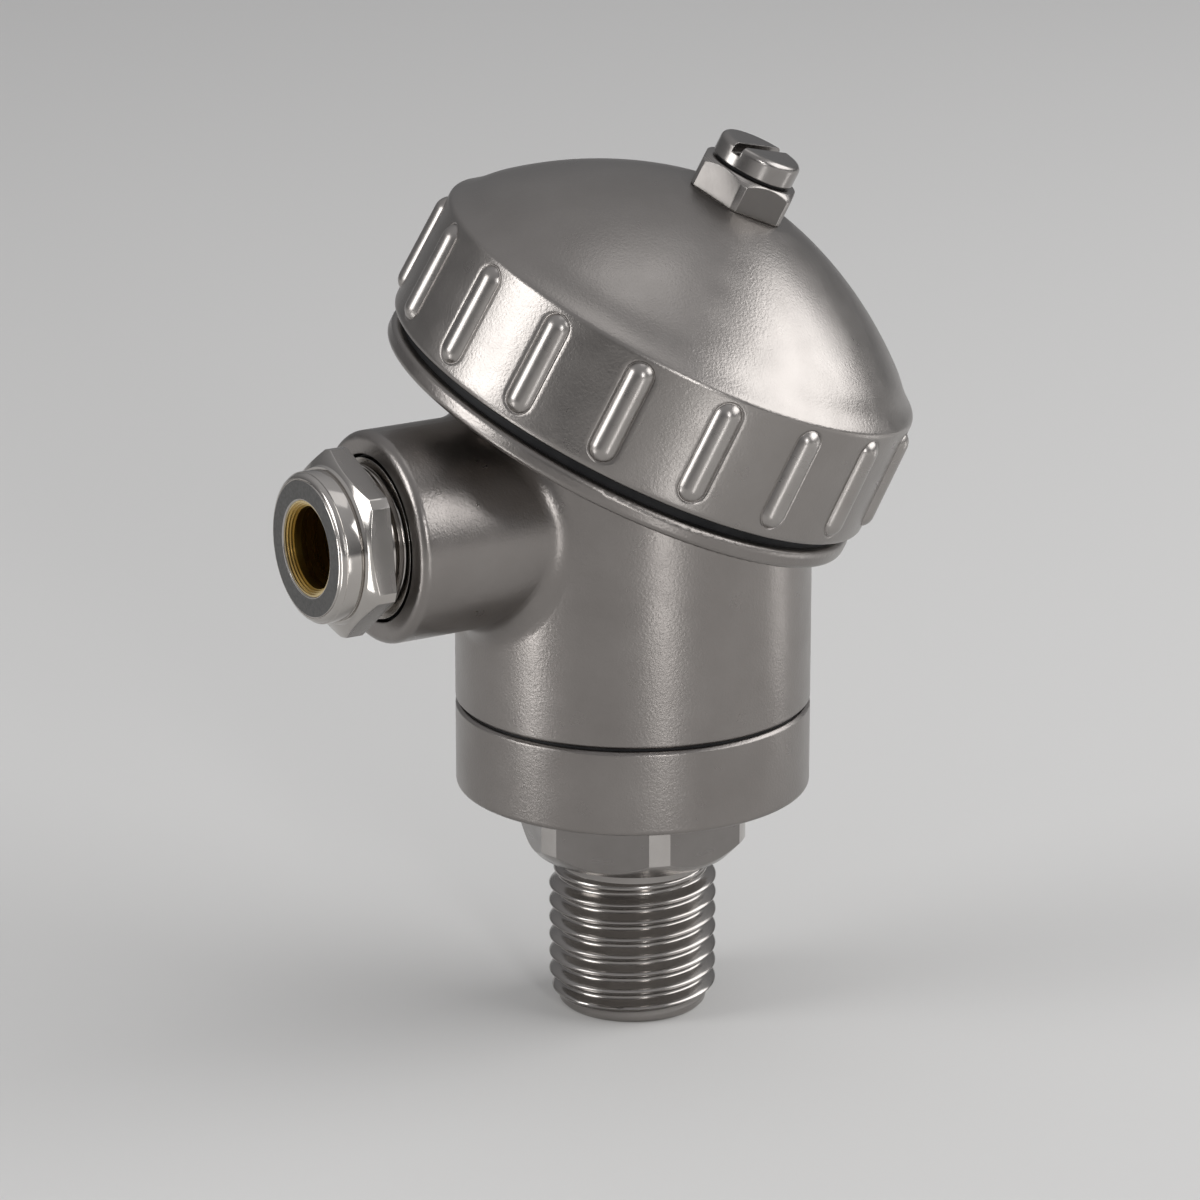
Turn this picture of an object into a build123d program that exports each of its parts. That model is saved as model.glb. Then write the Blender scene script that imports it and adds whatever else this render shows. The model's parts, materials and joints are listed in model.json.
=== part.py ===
"""Connection head of a thermocouple, in stainless steel: a round body with a leaning screw cap,
a cable entry boss with its gland, a base ring and a process fitting with a male thread.

Millimetres. Z runs up the body's axis, and its zero is the first full crest of the process
thread. The cap's axis leans from Z towards +X. The cable entry points level, to the left and
towards the viewer. Every size that can be set by itself is named once below, and what fits in,
on or round another piece takes its size from the same names."""

import os
from math import cos, radians, sin, sqrt

from build123d import *

# Clearances
thread_clearance = 0.3
slip_clearance = 0.1
screw_clearance = 0.05

# Process thread, seen below the hexagon
thread_crest_radius = 10.48
thread_depth = 1.28
thread_pitch = 2.28
thread_turns = 7
thread_crest_flat = 0.36
thread_root_flat = 0.4
nose_length = 1.55
nose_chamfer = 0.4
relief_length = 3.3

# Hexagon of the process fitting, its corners turned to a round
fitting_flats = 26.0
fitting_turned_radius = 14.3
fitting_hex_height = 8.8
fitting_chamfer_radius = 12.3
fitting_chamfer_height = 2.0
fitting_corner_azimuth = -13.2
spigot_radius = 9.0
spigot_engagement = 5.4
probe_bore_radius = 4.5

# Base ring, and the thin seal that shows as a black line above it
body_radius = 22.0
base_ring_height = 10.7
base_ring_edge = 0.6
base_seal_thickness = 0.4
base_seal_inset = 0.7
seam_chamfer = 0.35

# Body, a round barrel with a floor
body_wall = 2.8
body_floor = 6.0

# Cap axis: where it crosses the body's axis, and how far it leans
cap_tilt = 26.0
cap_cross_height = 61.5

# Flange and neck of the body, measured along the cap's axis
flange_radius = 31.0
flange_top = -2.7
flange_thickness = 2.4
flange_edge = 0.8
neck_radius = 27.6
neck_wall = 2.8
neck_top = 8.0
ledge_depth = 0.5
seal_gap = 1.4
seal_clearance = 0.05
seal_inset = 1.2

# Screw cap
cap_wall_foot_radius = 31.75
cap_wall_top_radius = 31.3
cap_foot_edge = 0.6
cap_shoulder_edge = 1.6
cap_skin = 2.4
crown_radius = 51.1
crown_offset = 6.3
crown_centre = -21.04
spot_face_radius = 7.3
rib_count = 17
rib_first_angle = 0.2
rib_bar_radius = 1.95
rib_stand_out = 0.95
rib_foot_gap = 1.3
rib_length = 13.1

# Hexagon nut and slotted screw on top of the cap
cap_nut_flats = 11.8
cap_nut_height = 4.1
cap_nut_chamfer = 0.55
cap_nut_corner_angle = 27.3
cap_nut_shank_radius = 4.3
cap_nut_rivet_lip = 0.6
cap_nut_rivet_thickness = 0.6
cap_screw_radius = 3.0
cap_screw_head_radius = 5.2
cap_screw_head_height = 2.7
cap_screw_head_edge = 0.8
cap_screw_length = 7.0
cap_screw_slot_width = 1.3
cap_screw_slot_depth = 1.3
cap_screw_slot_angle = 56.1
cap_screw_washer_radius = 4.7
cap_screw_washer_thickness = 0.4

# Cable entry boss
entry_azimuth = 215.0
entry_height = 49.85
entry_radius = 12.9
entry_reach = 36.8
entry_edge = 1.1
entry_blend = 3.5
entry_thread_radius = 8.8
entry_thread_length = 14.8
entry_cable_hole_radius = 6.0
counterbore_radius = 10.2
counterbore_depth = 3.5

# Gland
gland_flats = 20.3
gland_turned_radius = 11.35
gland_corner_angle = 8.0
gland_stand_off = 2.4
gland_hex_height = 3.4
gland_hex_chamfer = 1.0
gland_collar_radius = 9.15
gland_collar_height = 2.95
gland_collar_edge = 0.8
gland_face_ring_radius = 9.6
gland_face_ring_height = 0.6
gland_groove_radius = 8.0
gland_groove_height = 0.7
gland_step_radius = 9.1
gland_step_height = 0.7
bush_radius = 5.8
bush_bore_radius = 5.0
bush_front_set_back = 0.2
bush_steps = 3
bush_step_depth = 0.3
gland_ring_radius = 9.75
gland_ring_thickness = 1.1
gland_seal_radius = 10.0
gland_seal_thickness = 2.5
grommet_length = 4.4
grommet_bore_radius = 3.6
slip_washer_thickness = 1.0

# Terminal block and what is screwed to it, measured along the cap's axis
block_rim = 3.5
block_thickness = 8.0
block_wire_hole_radius = 3.5
lug_radius = 3.6
lug_length = 12.0
lug_set_in = 2.7
mount_screw_radius = 1.5
mount_screw_head_radius = 2.8
mount_screw_head_height = 2.0
mount_screw_length = 7.0
mount_washer_thickness = 0.6
barrier_width = 2.2
barrier_height = 5.0
barrier_start = 5.2
bar_length = 24.0
bar_width = 6.4
bar_thickness = 2.6
bar_recess = 1.4
bar_offset = 7.6
terminal_spacing = 16.0
clamp_size = 6.2
clamp_thickness = 1.2
clamp_screw_radius = 1.75
clamp_screw_head_radius = 2.9
clamp_screw_head_height = 2.3
clamp_screw_length = 5.0
clamp_screw_slot = 0.9


def crown_level(arc_radius, radius):
    """Height of the crown's arc at a radius. Its centre lies a little beyond the cap's axis."""
    return crown_centre + sqrt(arc_radius**2 - (radius + crown_offset) ** 2)


# Levels that follow from the sizes above
spot_height = crown_level(crown_radius, spot_face_radius)
wall_top = crown_level(crown_radius, cap_wall_top_radius)
thread_half_root = (thread_pitch - thread_root_flat) / 2
thread_root_radius = thread_crest_radius - thread_depth
thread_last_crest = -(thread_turns - 1) * thread_pitch
nose_end = thread_last_crest - thread_half_root - nose_length
hex_foot = thread_half_root + relief_length
ring_foot = hex_foot + fitting_hex_height
ring_top = ring_foot + base_ring_height
body_foot = ring_top + base_seal_thickness
floor_top = body_foot + body_floor
body_bore_radius = body_radius - body_wall
cap_foot = flange_top + seal_gap
cap_bore_radius = neck_radius + thread_clearance
inner_crown_radius = crown_radius - cap_skin
nut_top = spot_height + cap_nut_height
screw_seat = nut_top + cap_screw_washer_thickness
lug_spacing = 2 * (body_bore_radius - lug_set_in)
block_radius = lug_spacing / 2 + block_rim
bar_top = block_thickness + bar_thickness - bar_recess
clamp_top = bar_top + clamp_thickness
chamber_floor = flange_top + ledge_depth
entry_shoulder = entry_reach - entry_thread_length
gland_hex_back = entry_reach + gland_stand_off

# Frames: the leaning cap and the level cable entry, each with its own axis and half section
tilt = radians(cap_tilt)
cap_frame = Plane(
    origin=(0, 0, cap_cross_height),
    x_dir=(cos(tilt), 0, -sin(tilt)),
    z_dir=(sin(tilt), 0, cos(tilt)),
)
cap_section = Plane(origin=cap_frame.origin, x_dir=cap_frame.x_dir, z_dir=-cap_frame.y_dir)
cap_axis = Axis(cap_frame.origin, cap_frame.z_dir)
entry_direction = Vector(cos(radians(entry_azimuth)), sin(radians(entry_azimuth)), 0)
entry_frame = Plane(origin=(0, 0, entry_height), x_dir=(0, 0, 1), z_dir=entry_direction)
entry_section = Plane(
    origin=entry_frame.origin,
    x_dir=(0, 0, 1),
    z_dir=Vector(0, 0, 1).cross(entry_direction),
)
entry_axis = Axis(entry_frame.origin, entry_frame.z_dir)

os.makedirs("parts", exist_ok=True)


def turned(section, axis, outline, rounds=()):
    """A turned solid from (radius, height) corners. Each round is (corner number, radius)."""
    with BuildPart() as piece:
        with BuildSketch(section) as face:
            with BuildLine():
                Polyline(*outline, close=True)
            make_face()
            for number, radius in rounds:
                corner = face.vertices().sort_by_distance(Vector(*outline[number]))[0]
                fillet(corner, radius)
        revolve(axis=axis)
    return piece.part


def turned_on_body(outline, rounds=()):
    return turned(Plane.XZ, Axis.Z, outline, rounds)


def turned_on_cap(outline, rounds=()):
    return turned(cap_section, cap_axis, outline, rounds)


def turned_on_entry(outline, rounds=()):
    return turned(entry_section, entry_axis, outline, rounds)


def tube(inner, outer, low, high):
    """Corners of a plain ring's section."""
    return [(inner, low), (outer, low), (outer, high), (inner, high)]


def rod(radius, low, high):
    return tube(0, radius, low, high)


def hexagon(frame, flats, low, height, angle):
    """A hexagon prism on a frame, one corner at the given angle."""
    with BuildPart() as prism:
        with BuildSketch(frame.offset(low)):
            RegularPolygon(flats / 2, 6, major_radius=False, rotation=angle)
        extrude(amount=height)
    return prism.part


def save(node, name):
    node.part.label = name
    export_step(node.part, "parts/" + name + ".step")


# Process fitting: thread crests and roots as rings, relief, turned hexagon, spigot, through bore
thread_outline = [(0, nose_end), (thread_root_radius - nose_chamfer, nose_end)]
thread_outline.append((thread_root_radius, nose_end + nose_chamfer))
for turn in reversed(range(thread_turns)):
    crest_height = -turn * thread_pitch
    thread_outline.append((thread_root_radius, crest_height - thread_half_root))
    thread_outline.append((thread_crest_radius, crest_height - thread_crest_flat / 2))
    thread_outline.append((thread_crest_radius, crest_height + thread_crest_flat / 2))
    thread_outline.append((thread_root_radius, crest_height + thread_half_root))
thread_outline.append((thread_root_radius, hex_foot))
thread_outline.append((0, hex_foot))

with BuildPart() as process_fitting:
    add(hexagon(Plane.XY, fitting_flats, hex_foot, fitting_hex_height, fitting_corner_azimuth))
    add(
        turned_on_body(
            [
                (0, hex_foot),
                (fitting_chamfer_radius, hex_foot),
                (fitting_turned_radius, hex_foot + fitting_chamfer_height),
                (fitting_turned_radius, ring_foot),
                (0, ring_foot),
            ]
        ),
        mode=Mode.INTERSECT,
    )
    add(turned_on_body(thread_outline))
    add(turned_on_body(rod(spigot_radius, ring_foot, body_foot + spigot_engagement)))
    add(
        turned_on_body(rod(probe_bore_radius, nose_end, body_foot + spigot_engagement)),
        mode=Mode.SUBTRACT,
    )
save(process_fitting, "process_fitting")

# Base ring, clamped between the hexagon and the body
spigot_hole_radius = spigot_radius + slip_clearance
with BuildPart() as base_ring:
    add(
        turned_on_body(
            [
                (spigot_hole_radius, ring_foot),
                (body_radius, ring_foot),
                (body_radius, ring_top - seam_chamfer),
                (body_radius - seam_chamfer, ring_top),
                (spigot_hole_radius, ring_top),
            ],
            rounds=[(1, base_ring_edge)],
        )
    )
save(base_ring, "base_ring")

with BuildPart() as base_seal:
    add(
        turned_on_body(
            tube(spigot_hole_radius, body_radius - base_seal_inset, ring_top, body_foot)
        )
    )
save(base_seal, "base_seal")

# Body: barrel and entry boss blended together, cut by the leaning plane under the flange
barrel_reach = cap_cross_height + 2 * body_radius * sin(tilt)
with BuildPart() as head_body:
    add(
        turned_on_body(
            [
                (0, body_foot),
                (body_radius - seam_chamfer, body_foot),
                (body_radius, body_foot + seam_chamfer),
                (body_radius, barrel_reach),
                (0, barrel_reach),
            ]
        )
    )
    add(turned_on_entry(rod(entry_radius, 0, entry_reach), rounds=[(2, entry_edge)]))
    saddle = [
        edge
        for edge in head_body.edges()
        if edge.geom_type not in (GeomType.LINE, GeomType.CIRCLE)
    ]
    fillet(saddle, entry_blend)
    split(bisect_by=cap_frame.offset(flange_top - flange_thickness / 2), keep=Keep.BOTTOM)
    add(
        turned_on_cap(
            rod(flange_radius, flange_top - flange_thickness, flange_top),
            rounds=[(1, flange_edge), (2, flange_edge)],
        )
    )
    add(turned_on_cap(rod(neck_radius, flange_top, neck_top)))
    # Chamber: an upright bore with a floor, opening into the leaning bore of the neck
    with BuildPart(mode=Mode.PRIVATE) as chamber:
        add(turned_on_body(rod(body_bore_radius, floor_top, barrel_reach)))
        split(bisect_by=cap_frame.offset(chamber_floor), keep=Keep.BOTTOM)
        add(turned_on_cap(rod(neck_radius - neck_wall, chamber_floor, neck_top)))
    add(chamber.part, mode=Mode.SUBTRACT)
    # Two cast lugs for the terminal block, on the chamber's wall
    with Locations(cap_frame.location):
        with GridLocations(0, lug_spacing, 1, 2):
            with Locations((0, 0, -lug_length / 2)):
                Cylinder(lug_radius, lug_length)
            with Locations((0, 0, -mount_screw_length / 2)):
                Cylinder(
                    mount_screw_radius + screw_clearance, mount_screw_length, mode=Mode.SUBTRACT
                )
    # Bores of the cable entry and of the floor
    add(
        turned_on_entry(
            [
                (0, 0),
                (entry_cable_hole_radius, 0),
                (entry_cable_hole_radius, entry_shoulder),
                (entry_thread_radius, entry_shoulder),
                (entry_thread_radius, entry_reach - counterbore_depth),
                (counterbore_radius, entry_reach - counterbore_depth),
                (counterbore_radius, entry_reach),
                (0, entry_reach),
            ]
        ),
        mode=Mode.SUBTRACT,
    )
    add(turned_on_body(rod(spigot_hole_radius, body_foot, floor_top)), mode=Mode.SUBTRACT)
save(head_body, "head_body")

# Seal between the flange and the cap
with BuildPart() as cap_seal:
    add(
        turned_on_cap(
            tube(
                neck_radius + slip_clearance,
                flange_radius - seal_inset,
                flange_top,
                cap_foot - seal_clearance,
            )
        )
    )
save(cap_seal, "cap_seal")

# Screw cap: one turned shell with half-round grip bars standing on its wall
with BuildPart() as grip_bar:
    with BuildSketch(Plane.XZ) as bar_half:
        with BuildLine():
            bar_axis = Line((0, 0), (0, rib_length))
            straight_end = rib_length - rib_bar_radius
            straight = Line((rib_bar_radius, rib_bar_radius), (rib_bar_radius, straight_end))
            RadiusArc((0, 0), straight @ 0, -rib_bar_radius)
            RadiusArc(straight @ 1, (0, rib_length), -rib_bar_radius)
        make_face()
    revolve(axis=Axis.Z)

with BuildPart() as screw_cap:
    with BuildSketch(cap_section) as shell:
        with BuildLine():
            foot = Line((cap_bore_radius, cap_foot), (cap_wall_foot_radius, cap_foot))
            wall = Line(foot @ 1, (cap_wall_top_radius, wall_top))
            mid_radius = 0.6 * cap_wall_top_radius
            crown = ThreePointArc(
                wall @ 1,
                (mid_radius, crown_level(crown_radius, mid_radius)),
                (spot_face_radius, spot_height),
            )
            hole_radius = cap_nut_shank_radius + screw_clearance
            spot = Line(crown @ 1, (hole_radius, spot_height))
            inner_start = crown_level(inner_crown_radius, hole_radius)
            hole = Line(spot @ 1, (hole_radius, inner_start))
            inner_end = crown_level(inner_crown_radius, cap_bore_radius)
            inner_mid = 0.6 * cap_bore_radius
            inner_crown = ThreePointArc(
                hole @ 1,
                (inner_mid, crown_level(inner_crown_radius, inner_mid)),
                (cap_bore_radius, inner_end),
            )
            Line(inner_crown @ 1, foot @ 0)
        make_face()
        outer_foot = shell.vertices().sort_by_distance(Vector(cap_wall_foot_radius, cap_foot))[0]
        fillet(outer_foot, cap_foot_edge)
        shoulder = shell.vertices().sort_by_distance(Vector(cap_wall_top_radius, wall_top))[0]
        fillet(shoulder, cap_shoulder_edge)
    revolve(axis=cap_axis)
    bar_circle = cap_wall_top_radius + rib_stand_out - rib_bar_radius
    with Locations(cap_frame.offset(cap_foot + rib_foot_gap).location):
        with PolarLocations(bar_circle, rib_count, start_angle=180 + rib_first_angle):
            add(grip_bar.part)
save(screw_cap, "screw_cap")

# Nut riveted into the cap's crown, and the slotted screw with its washer
with BuildPart() as cap_nut:
    corner_radius = cap_nut_flats / sqrt(3)
    add(hexagon(cap_frame, cap_nut_flats, spot_height, cap_nut_height, 180 + cap_nut_corner_angle))
    add(
        turned_on_cap(
            [
                (0, spot_height),
                (corner_radius, spot_height),
                (corner_radius, nut_top - cap_nut_chamfer),
                (corner_radius - 2 * cap_nut_chamfer, nut_top),
                (0, nut_top),
            ]
        ),
        mode=Mode.INTERSECT,
    )
    lip_radius = cap_nut_shank_radius + cap_nut_rivet_lip
    lip_top = crown_level(inner_crown_radius, lip_radius)
    rivet_foot = lip_top - cap_nut_rivet_thickness
    add(turned_on_cap(rod(cap_nut_shank_radius, rivet_foot, spot_height)))
    add(turned_on_cap(rod(lip_radius, rivet_foot, lip_top)))
    add(
        turned_on_cap(rod(cap_screw_radius + screw_clearance, rivet_foot, nut_top)),
        mode=Mode.SUBTRACT,
    )
save(cap_nut, "cap_nut")

with BuildPart() as cap_screw_washer:
    add(
        turned_on_cap(
            tube(cap_screw_radius + screw_clearance, cap_screw_washer_radius, nut_top, screw_seat)
        )
    )
save(cap_screw_washer, "cap_screw_washer")

with BuildPart() as cap_screw:
    head_top = screw_seat + cap_screw_head_height
    add(
        turned_on_cap(
            [
                (0, screw_seat - cap_screw_length),
                (cap_screw_radius, screw_seat - cap_screw_length),
                (cap_screw_radius, screw_seat),
                (cap_screw_head_radius, screw_seat),
                (cap_screw_head_radius, head_top),
                (0, head_top),
            ],
            rounds=[(4, cap_screw_head_edge)],
        )
    )
    with BuildSketch(cap_frame.offset(head_top)):
        Rectangle(4 * cap_screw_head_radius, cap_screw_slot_width, rotation=cap_screw_slot_angle)
    extrude(amount=-cap_screw_slot_depth, mode=Mode.SUBTRACT)
save(cap_screw, "cap_screw")

# Gland: hexagon nut with a collar, a stepped brass bush in it, and the rings behind
shank_radius = entry_thread_radius - slip_clearance
shank_end = entry_shoulder + grommet_length + slip_washer_thickness
hex_front = gland_hex_back + gland_hex_height
collar_front = hex_front + gland_collar_height
face_ring_back = gland_hex_back - gland_face_ring_height
groove_back = face_ring_back - gland_groove_height
step_back = groove_back - gland_step_height
bush_front = collar_front - bush_front_set_back
bush_back = shank_end
with BuildPart() as gland_nut:
    add(hexagon(entry_frame, gland_flats, gland_hex_back, gland_hex_height, gland_corner_angle))
    add(
        turned_on_entry(
            [
                (0, gland_hex_back),
                (gland_turned_radius, gland_hex_back),
                (gland_turned_radius, hex_front - gland_hex_chamfer),
                (gland_collar_radius, hex_front),
                (0, hex_front),
            ]
        ),
        mode=Mode.INTERSECT,
    )
    add(
        turned_on_entry(
            rod(gland_collar_radius, hex_front, collar_front), rounds=[(2, gland_collar_edge)]
        )
    )
    add(turned_on_entry(rod(gland_face_ring_radius, face_ring_back, gland_hex_back)))
    add(turned_on_entry(rod(gland_groove_radius, groove_back, face_ring_back)))
    add(turned_on_entry(rod(gland_step_radius, step_back, groove_back)))
    add(turned_on_entry(rod(shank_radius, shank_end, step_back)))
    add(turned_on_entry(rod(bush_radius, shank_end, collar_front)), mode=Mode.SUBTRACT)
save(gland_nut, "gland_nut")

bush_outline = [(bush_bore_radius, bush_back), (bush_radius, bush_back), (bush_radius, bush_front)]
bush_step_width = (bush_radius - bush_bore_radius) / (bush_steps + 1)
for step in range(1, bush_steps + 1):
    step_radius = bush_radius - step * bush_step_width
    bush_outline.append((step_radius, bush_front - (step - 1) * bush_step_depth))
    bush_outline.append((step_radius, bush_front - step * bush_step_depth))
bush_outline.append((bush_bore_radius, bush_front - bush_steps * bush_step_depth))
with BuildPart() as gland_bush:
    add(turned_on_entry(bush_outline))
save(gland_bush, "gland_bush")

seal_back = entry_reach - counterbore_depth
ring_back = seal_back + gland_seal_thickness
ring_bore_radius = shank_radius + screw_clearance
with BuildPart() as gland_seal:
    add(turned_on_entry(tube(ring_bore_radius, gland_seal_radius, seal_back, ring_back)))
save(gland_seal, "gland_seal")

with BuildPart() as gland_ring:
    add(
        turned_on_entry(
            tube(ring_bore_radius, gland_ring_radius, ring_back, ring_back + gland_ring_thickness)
        )
    )
save(gland_ring, "gland_ring")

grommet_front = entry_shoulder + grommet_length
with BuildPart() as gland_grommet:
    add(turned_on_entry(tube(grommet_bore_radius, shank_radius, entry_shoulder, grommet_front)))
save(gland_grommet, "gland_grommet")

with BuildPart() as gland_slip_washer:
    add(turned_on_entry(tube(bush_bore_radius, shank_radius, grommet_front, shank_end)))
save(gland_slip_washer, "gland_slip_washer")

# Terminal block on the two lugs, with a barrier wall between its two terminals
with BuildPart() as terminal_block:
    with BuildSketch(cap_frame):
        Circle(block_radius)
        Circle(block_wire_hole_radius, mode=Mode.SUBTRACT)
        with GridLocations(0, lug_spacing, 1, 2):
            Circle(mount_screw_radius + slip_clearance, mode=Mode.SUBTRACT)
    extrude(amount=block_thickness)
    barrier_end = sqrt(block_radius**2 - barrier_width**2)
    with BuildSketch(cap_frame.offset(block_thickness)):
        with GridLocations(barrier_start + barrier_end, 0, 2, 1):
            Rectangle(barrier_end - barrier_start, barrier_width)
    extrude(amount=barrier_height)
    with BuildSketch(cap_frame.offset(block_thickness)):
        with GridLocations(0, 2 * bar_offset, 1, 2):
            Rectangle(bar_length + 2 * slip_clearance, bar_width + 2 * slip_clearance)
    extrude(amount=-bar_recess, mode=Mode.SUBTRACT)
    with BuildSketch(cap_frame.offset(block_thickness - bar_recess)):
        with GridLocations(terminal_spacing, 2 * bar_offset, 2, 2):
            Circle(clamp_screw_radius + slip_clearance)
    extrude(amount=-(clamp_screw_length - clamp_thickness), mode=Mode.SUBTRACT)
save(terminal_block, "terminal_block")

# Terminal bars
for name, side in (("terminal_bar_plus", -1), ("terminal_bar_minus", 1)):
    with BuildPart() as terminal_bar:
        with BuildSketch(cap_frame.offset(bar_top)):
            with Locations((0, side * bar_offset)):
                Rectangle(bar_length, bar_width)
            with Locations((0, side * bar_offset)):
                with GridLocations(terminal_spacing, 0, 2, 1):
                    Circle(clamp_screw_radius + screw_clearance, mode=Mode.SUBTRACT)
        extrude(amount=-bar_thickness)
    save(terminal_bar, name)

# Four square clamp plates, each with its slotted screw
terminal_number = 0
for side in (-1, 1):
    for end in (-1, 1):
        terminal_number = terminal_number + 1
        spot_x = end * terminal_spacing / 2
        spot_y = side * bar_offset
        with BuildPart() as clamp_plate:
            with BuildSketch(cap_frame.offset(bar_top)):
                with Locations((spot_x, spot_y)):
                    Rectangle(clamp_size, clamp_size)
                    Circle(clamp_screw_radius + screw_clearance, mode=Mode.SUBTRACT)
            extrude(amount=clamp_thickness)
        save(clamp_plate, "clamp_plate_" + str(terminal_number))
        with BuildPart() as clamp_screw:
            with BuildSketch(cap_frame.offset(clamp_top)):
                with Locations((spot_x, spot_y)):
                    Circle(clamp_screw_head_radius)
            extrude(amount=clamp_screw_head_height)
            with BuildSketch(cap_frame.offset(clamp_top)):
                with Locations((spot_x, spot_y)):
                    Circle(clamp_screw_radius)
            extrude(amount=-clamp_screw_length)
            with BuildSketch(cap_frame.offset(clamp_top + clamp_screw_head_height)):
                with Locations((spot_x, spot_y)):
                    Rectangle(2 * clamp_screw_head_radius, clamp_screw_slot)
            extrude(amount=-clamp_screw_slot, mode=Mode.SUBTRACT)
        save(clamp_screw, "clamp_screw_" + str(terminal_number))

# Screws and washers that hold the block to the lugs
washer_top = block_thickness + mount_washer_thickness
with BuildPart() as block_washers:
    with BuildSketch(cap_frame.offset(block_thickness)):
        with GridLocations(0, lug_spacing, 1, 2):
            Circle(mount_screw_head_radius)
            Circle(mount_screw_radius + screw_clearance, mode=Mode.SUBTRACT)
    extrude(amount=mount_washer_thickness)
save(block_washers, "block_washers")

with BuildPart() as block_screws:
    with BuildSketch(cap_frame.offset(washer_top)):
        with GridLocations(0, lug_spacing, 1, 2):
            Circle(mount_screw_head_radius)
    extrude(amount=mount_screw_head_height)
    with BuildSketch(cap_frame.offset(washer_top)):
        with GridLocations(0, lug_spacing, 1, 2):
            Circle(mount_screw_radius)
    extrude(amount=-(washer_top + mount_screw_length - screw_clearance))
    with BuildSketch(cap_frame.offset(washer_top + mount_screw_head_height)):
        with GridLocations(0, lug_spacing, 1, 2):
            Rectangle(2 * mount_screw_head_radius, clamp_screw_slot)
    extrude(amount=-clamp_screw_slot, mode=Mode.SUBTRACT)
save(block_screws, "block_screws")
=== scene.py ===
# %% [markdown]
# # A thermocouple's connection head, dressed for its picture
# The solids of the head are already built and packed. This lesson gives them
# their finishes, cuts the screw threads that are too fine for the solids, and
# sets up the floor, the light and the camera. Blender works in metres here, and
# the head stands where its solids stand, so nothing has to be fitted by eye.

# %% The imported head
import json
from math import acos, cos, exp, pi, radians, sin, sqrt

import bmesh
import bpy
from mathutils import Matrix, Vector

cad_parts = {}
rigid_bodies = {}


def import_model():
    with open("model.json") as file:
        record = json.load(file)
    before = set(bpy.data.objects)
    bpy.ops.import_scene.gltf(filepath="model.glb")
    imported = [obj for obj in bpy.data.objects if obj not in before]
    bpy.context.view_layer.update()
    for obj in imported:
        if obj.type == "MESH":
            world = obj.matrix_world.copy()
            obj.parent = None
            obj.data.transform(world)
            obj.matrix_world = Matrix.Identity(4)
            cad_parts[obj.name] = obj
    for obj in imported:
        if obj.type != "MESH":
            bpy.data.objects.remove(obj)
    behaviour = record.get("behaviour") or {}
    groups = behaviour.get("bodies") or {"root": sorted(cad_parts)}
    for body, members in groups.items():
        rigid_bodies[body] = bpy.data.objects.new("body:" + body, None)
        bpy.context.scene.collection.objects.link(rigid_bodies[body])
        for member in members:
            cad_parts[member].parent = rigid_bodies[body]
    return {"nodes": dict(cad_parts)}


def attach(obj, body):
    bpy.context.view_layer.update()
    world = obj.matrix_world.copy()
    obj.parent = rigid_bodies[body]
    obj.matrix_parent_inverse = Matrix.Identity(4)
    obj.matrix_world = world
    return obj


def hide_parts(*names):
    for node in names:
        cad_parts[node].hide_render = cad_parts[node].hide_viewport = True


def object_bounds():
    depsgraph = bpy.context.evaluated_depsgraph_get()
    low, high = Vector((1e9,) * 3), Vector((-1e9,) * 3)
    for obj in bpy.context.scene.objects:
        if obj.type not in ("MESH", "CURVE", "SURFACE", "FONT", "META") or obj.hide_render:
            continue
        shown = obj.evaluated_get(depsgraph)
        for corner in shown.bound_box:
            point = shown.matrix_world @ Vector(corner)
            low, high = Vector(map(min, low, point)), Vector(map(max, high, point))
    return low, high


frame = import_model()
cad_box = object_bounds()
nodes = frame["nodes"]
MM = 0.001
MICRON = 0.000001
print(len(nodes), "solids, box", cad_box)

# %% [markdown]
# ## Three axes
# The head is turned about three axes. The body and its process thread stand
# upright, the screw cap leans 26 degrees, and the cable entry lies level. Every
# turned piece and every lathe mark belongs to one of them, so each axis gets its
# name, a point that it passes through, and its direction.

# %% The axes of the head
LEAN = radians(26.0)
ENTRY_AZIMUTH = radians(215.0)
AXES = {
    "body": (Vector((0, 0, 0)), Vector((0, 0, 1))),
    "cap": (Vector((0, 0, 61.5)) * MM, Vector((sin(LEAN), 0, cos(LEAN)))),
    "entry": (Vector((0, 0, 49.85)) * MM, Vector((cos(ENTRY_AZIMUTH), sin(ENTRY_AZIMUTH), 0))),
}
FIRST_SIDE = {
    "body": Vector((1, 0, 0)),
    "cap": Vector((cos(LEAN), 0, -sin(LEAN))),
    "entry": Vector((0, 0, 1)),
}
for axis_name, (point, direction) in AXES.items():
    print(axis_name, [round(v, 4) for v in point], [round(v, 3) for v in direction])

# %% [markdown]
# ## Camera
# The picture was taken from a little above the head with a long lens, so the
# upright edges stay nearly parallel. The camera stands at the same place, and
# its height, turn and lens were worked out from the round edges of the picture.

# %% Camera
LOOKS_DOWN = 17.08
TURNED_LEFT = 3.58
camera_data = bpy.data.cameras.new("camera")
camera_data.lens = 156.06
camera_data.sensor_width = 36
camera_data.clip_start = 0.01
camera = bpy.data.objects.new("camera", camera_data)
camera.location = (0.03427, -0.6129, 0.22485)
camera.rotation_euler = (radians(90 - LOOKS_DOWN), 0, radians(TURNED_LEFT))
bpy.context.scene.collection.objects.link(camera)
bpy.context.scene.camera = camera
print("camera", round(camera.location.length, 3), "m away")

# %% [markdown]
# ## Floor, lamps and surroundings
# Bare steel shows mostly what stands round it. A pale floor lights it from
# below, and four soft boxes draw the long highlights that tell the eye how the
# metal curves. Three narrow strips close to the head give the upright walls their
# bands. The surroundings are a soft grey that gets lighter overhead.

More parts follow.
